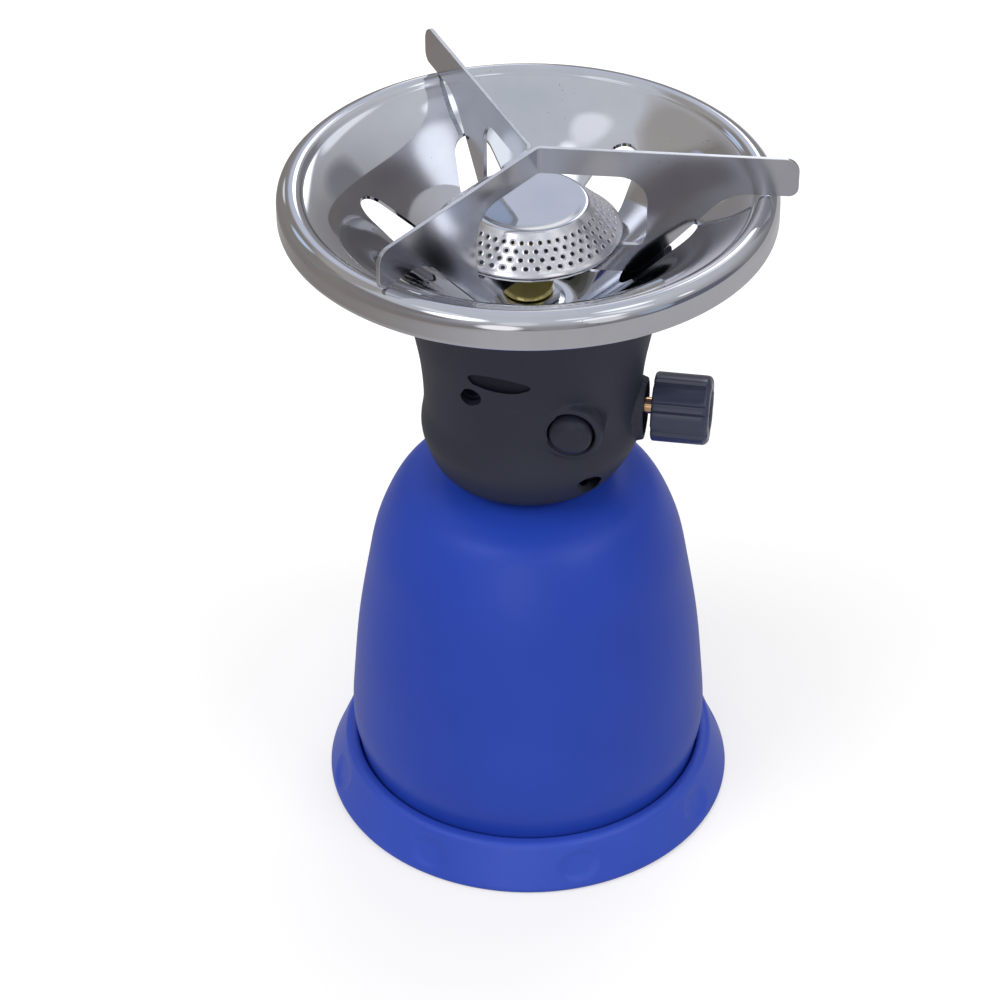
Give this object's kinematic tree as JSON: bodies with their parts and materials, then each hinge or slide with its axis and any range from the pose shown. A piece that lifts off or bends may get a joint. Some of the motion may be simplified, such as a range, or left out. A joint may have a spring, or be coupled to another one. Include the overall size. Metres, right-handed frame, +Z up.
{
  "type": "camping gas stove",
  "caption": "Single-burner camping stove: bell on a round base over a pierced gas cartridge, black valve housing with knob and igniter, chromed windshield bowl and three-arm pan support.",
  "frame": {"origin": "centre of the base disc's underside, on the surface that the stove stands on", "axes": "+Z up through the burner; +X along the control knob; the igniter button is pushed along +Y"},
  "size_m": [0.1434, 0.1388, 0.2227],
  "materials": {
    "base_plastic": "satin moulded plastic, bright blue",
    "bell_plastic": "satin moulded plastic, blue",
    "housing_plastic": "matte moulded plastic, slate black",
    "knob_plastic": "smooth moulded plastic, black",
    "cartridge_steel": "printed tinplate, plain blue",
    "chromed_steel": "bright chromed sheet",
    "zinc_steel": "zinc-plated sheet with bright cut edges",
    "burner_steel": "bright stamped steel",
    "plain_steel": "plated steel",
    "cast_metal": "die-cast, as cast",
    "brass": "turned brass",
    "black_rubber": "moulded rubber",
    "ceramic": "glazed white ceramic"
  },
  "bodies": {
    "base": {"base_disc": "base_plastic", "gas_cartridge": "cartridge_steel"},
    "bell": {"bell_housing": "bell_plastic", "bell_collar": "cast_metal"},
    "seal": {"cartridge_seal": "black_rubber"},
    "head": {"piercing_spigot": "brass", "valve_body": "cast_metal", "spindle_o_ring": "black_rubber", "spindle_gland": "brass", "gas_jet": "brass", "mixer_tube": "brass", "lock_washer": "plain_steel", "clamp_nut": "plain_steel", "burner_neck": "brass", "windshield": "chromed_steel", "support_pair": "zinc_steel", "support_single": "zinc_steel", "burner_cup": "burner_steel", "burner_cap": "burner_steel", "housing_front": "housing_plastic", "housing_rear": "housing_plastic", "housing_screw_upper": "plain_steel", "housing_screw_lower": "plain_steel", "igniter_body": "knob_plastic", "igniter_lead": "black_rubber", "electrode_insulator": "ceramic", "electrode_rod": "plain_steel"},
    "spindle": {"valve_spindle": "brass"},
    "knob": {"control_knob": "knob_plastic"},
    "button": {"igniter_button": "knob_plastic", "igniter_plunger": "knob_plastic"}
  },
  "joints": [
    {"name": "bell_twist", "type": "hinge", "parent": "base", "child": "bell", "pos_m": [0, 0, 0], "axis": [0, 0, 1], "range_deg": [0, 40]},
    {"name": "head_lift", "type": "slide", "parent": "bell", "child": "seal", "axis": [0, 0, 1], "range_m": [0, 0.0175]},
    {"name": "head_screw", "type": "hinge", "parent": "seal", "child": "head", "pos_m": [0, 0, 0.11], "axis": [0, 0, 1], "range_deg": [0, 2500]},
    {"name": "spindle_travel", "type": "slide", "parent": "head", "child": "spindle", "axis": [1, 0, 0], "range_m": [0, 0.0015]},
    {"name": "knob_turn", "type": "hinge", "parent": "spindle", "child": "knob", "pos_m": [0.045, 0, 0.1395], "axis": [1, 0, 0], "range_deg": [0, 540]},
    {"name": "button_press", "type": "slide", "parent": "head", "child": "button", "axis": [0, 1, 0], "range_m": [0, 0.004], "stiffness_N_per_m": 1200}
  ],
  "couplings": [
    {"joint": "head_lift", "follows": "head_screw", "m_per_rad": 0.000398},
    {"joint": "spindle_travel", "follows": "knob_turn", "m_per_rad": 0.000159}
  ]
}
